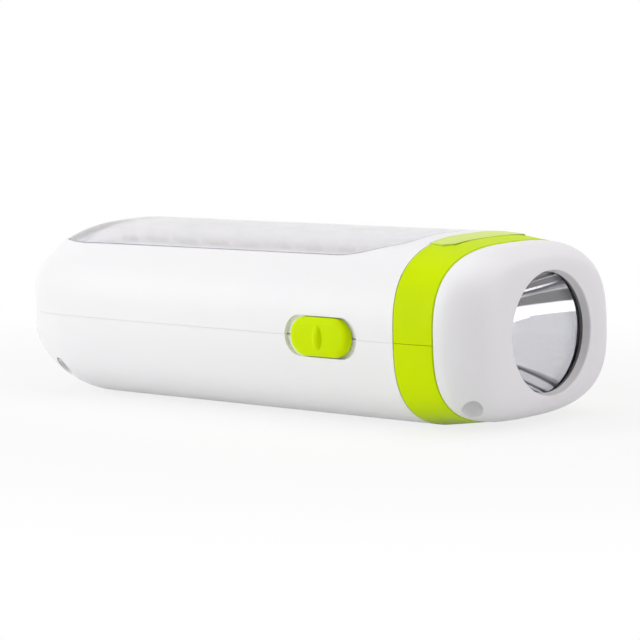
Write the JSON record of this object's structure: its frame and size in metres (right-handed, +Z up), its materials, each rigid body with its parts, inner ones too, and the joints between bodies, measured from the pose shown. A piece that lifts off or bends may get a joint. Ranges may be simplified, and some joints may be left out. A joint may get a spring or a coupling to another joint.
{
  "type": "rechargeable torch",
  "caption": "Hand torch with a flattened oval body: a spot lamp in the nose, a long side lamp in the roof, a thumb slide switch and a slide-out charging plug in the tail.",
  "frame": {"origin": "middle of the torch in length and width, on the plane it lies on", "axes": "+X the way the spot lamp shines, +Y to the side away from the switch, +Z up to the side lamp"},
  "size_m": [0.1872, 0.0703, 0.0512],
  "materials": {
    "white_shell": "moulded, fine satin gloss",
    "green_trim": "moulded, satin gloss",
    "clear_lens": "clear, polished",
    "clear_window": "clear, faintly diffusing",
    "mirror_coat": "vacuum-metallised",
    "seal_rubber": "soft, matte",
    "heat_plate": "rolled sheet",
    "star_board": "white solder mask on metal core",
    "strip_board": "white solder mask",
    "spot_emitter": "clear dome over phosphor",
    "screw_steel": "zinc plated",
    "tinned_steel": "tinned",
    "nickel_pins": "nickel plated, polished",
    "spring_brass": "bare",
    "battery_case": "moulded",
    "green_board": "solder mask",
    "film_capacitor": "dipped",
    "filter_sleeve": "shrink sleeve",
    "black_parts": "moulded",
    "red_lead": "insulated wire",
    "black_lead": "insulated wire"
  },
  "bodies": {
    "case": {"upper_shell": "white_shell", "lower_shell": "white_shell", "head_bezel": "white_shell", "side_tray": "white_shell", "plug_cap": "white_shell", "band_upper": "green_trim", "band_lower": "green_trim", "band_pad": "green_trim", "front_lens": "clear_lens", "side_window": "clear_window", "reflector": "mirror_coat", "lens_seal": "seal_rubber", "heat_sink_plate": "heat_plate", "led_star_board": "star_board", "side_led_strip": "strip_board", "spot_led": "spot_emitter", "tray_screw_rear": "screw_steel", "tray_screw_front": "screw_steel", "board_screw_rear": "screw_steel", "board_screw_front": "screw_steel", "rear_screw_right": "screw_steel", "rear_screw_left": "screw_steel", "head_screw_right": "screw_steel", "head_screw_left": "screw_steel", "strap_screw_right": "screw_steel", "strap_screw_left": "screw_steel", "switch_body": "screw_steel", "battery_strap": "tinned_steel", "battery_tab_right": "tinned_steel", "battery_tab_left": "tinned_steel", "plug_brush_right": "spring_brass", "plug_brush_left": "spring_brass", "battery": "battery_case", "charge_board": "green_board", "dropper_capacitor": "film_capacitor", "filter_capacitor": "filter_sleeve", "bridge_diode_1": "black_parts", "bridge_diode_2": "black_parts", "bridge_diode_3": "black_parts", "bridge_diode_4": "black_parts", "battery_lead_red": "red_lead", "side_lead_red": "red_lead", "spot_lead_red": "red_lead", "switch_lead_common": "red_lead", "switch_lead_throw": "red_lead", "battery_lead_black": "black_lead", "side_lead_black": "black_lead", "spot_lead_black": "black_lead"},
    "lamp_switch": {"switch_knob": "green_trim", "switch_lever": "black_parts"},
    "charging_plug": {"plug_carriage": "white_shell", "plug_pin_right": "nickel_pins", "plug_pin_left": "nickel_pins", "plug_slider": "white_shell"}
  },
  "joints": [
    {"name": "switch_slide", "type": "slide", "parent": "case", "child": "lamp_switch", "axis": [1, 0, 0], "range_m": [-0.0025, 0.0025]},
    {"name": "plug_slide", "type": "slide", "parent": "case", "child": "charging_plug", "axis": [-1, 0, 0], "range_m": [0, 0.019]}
  ]
}
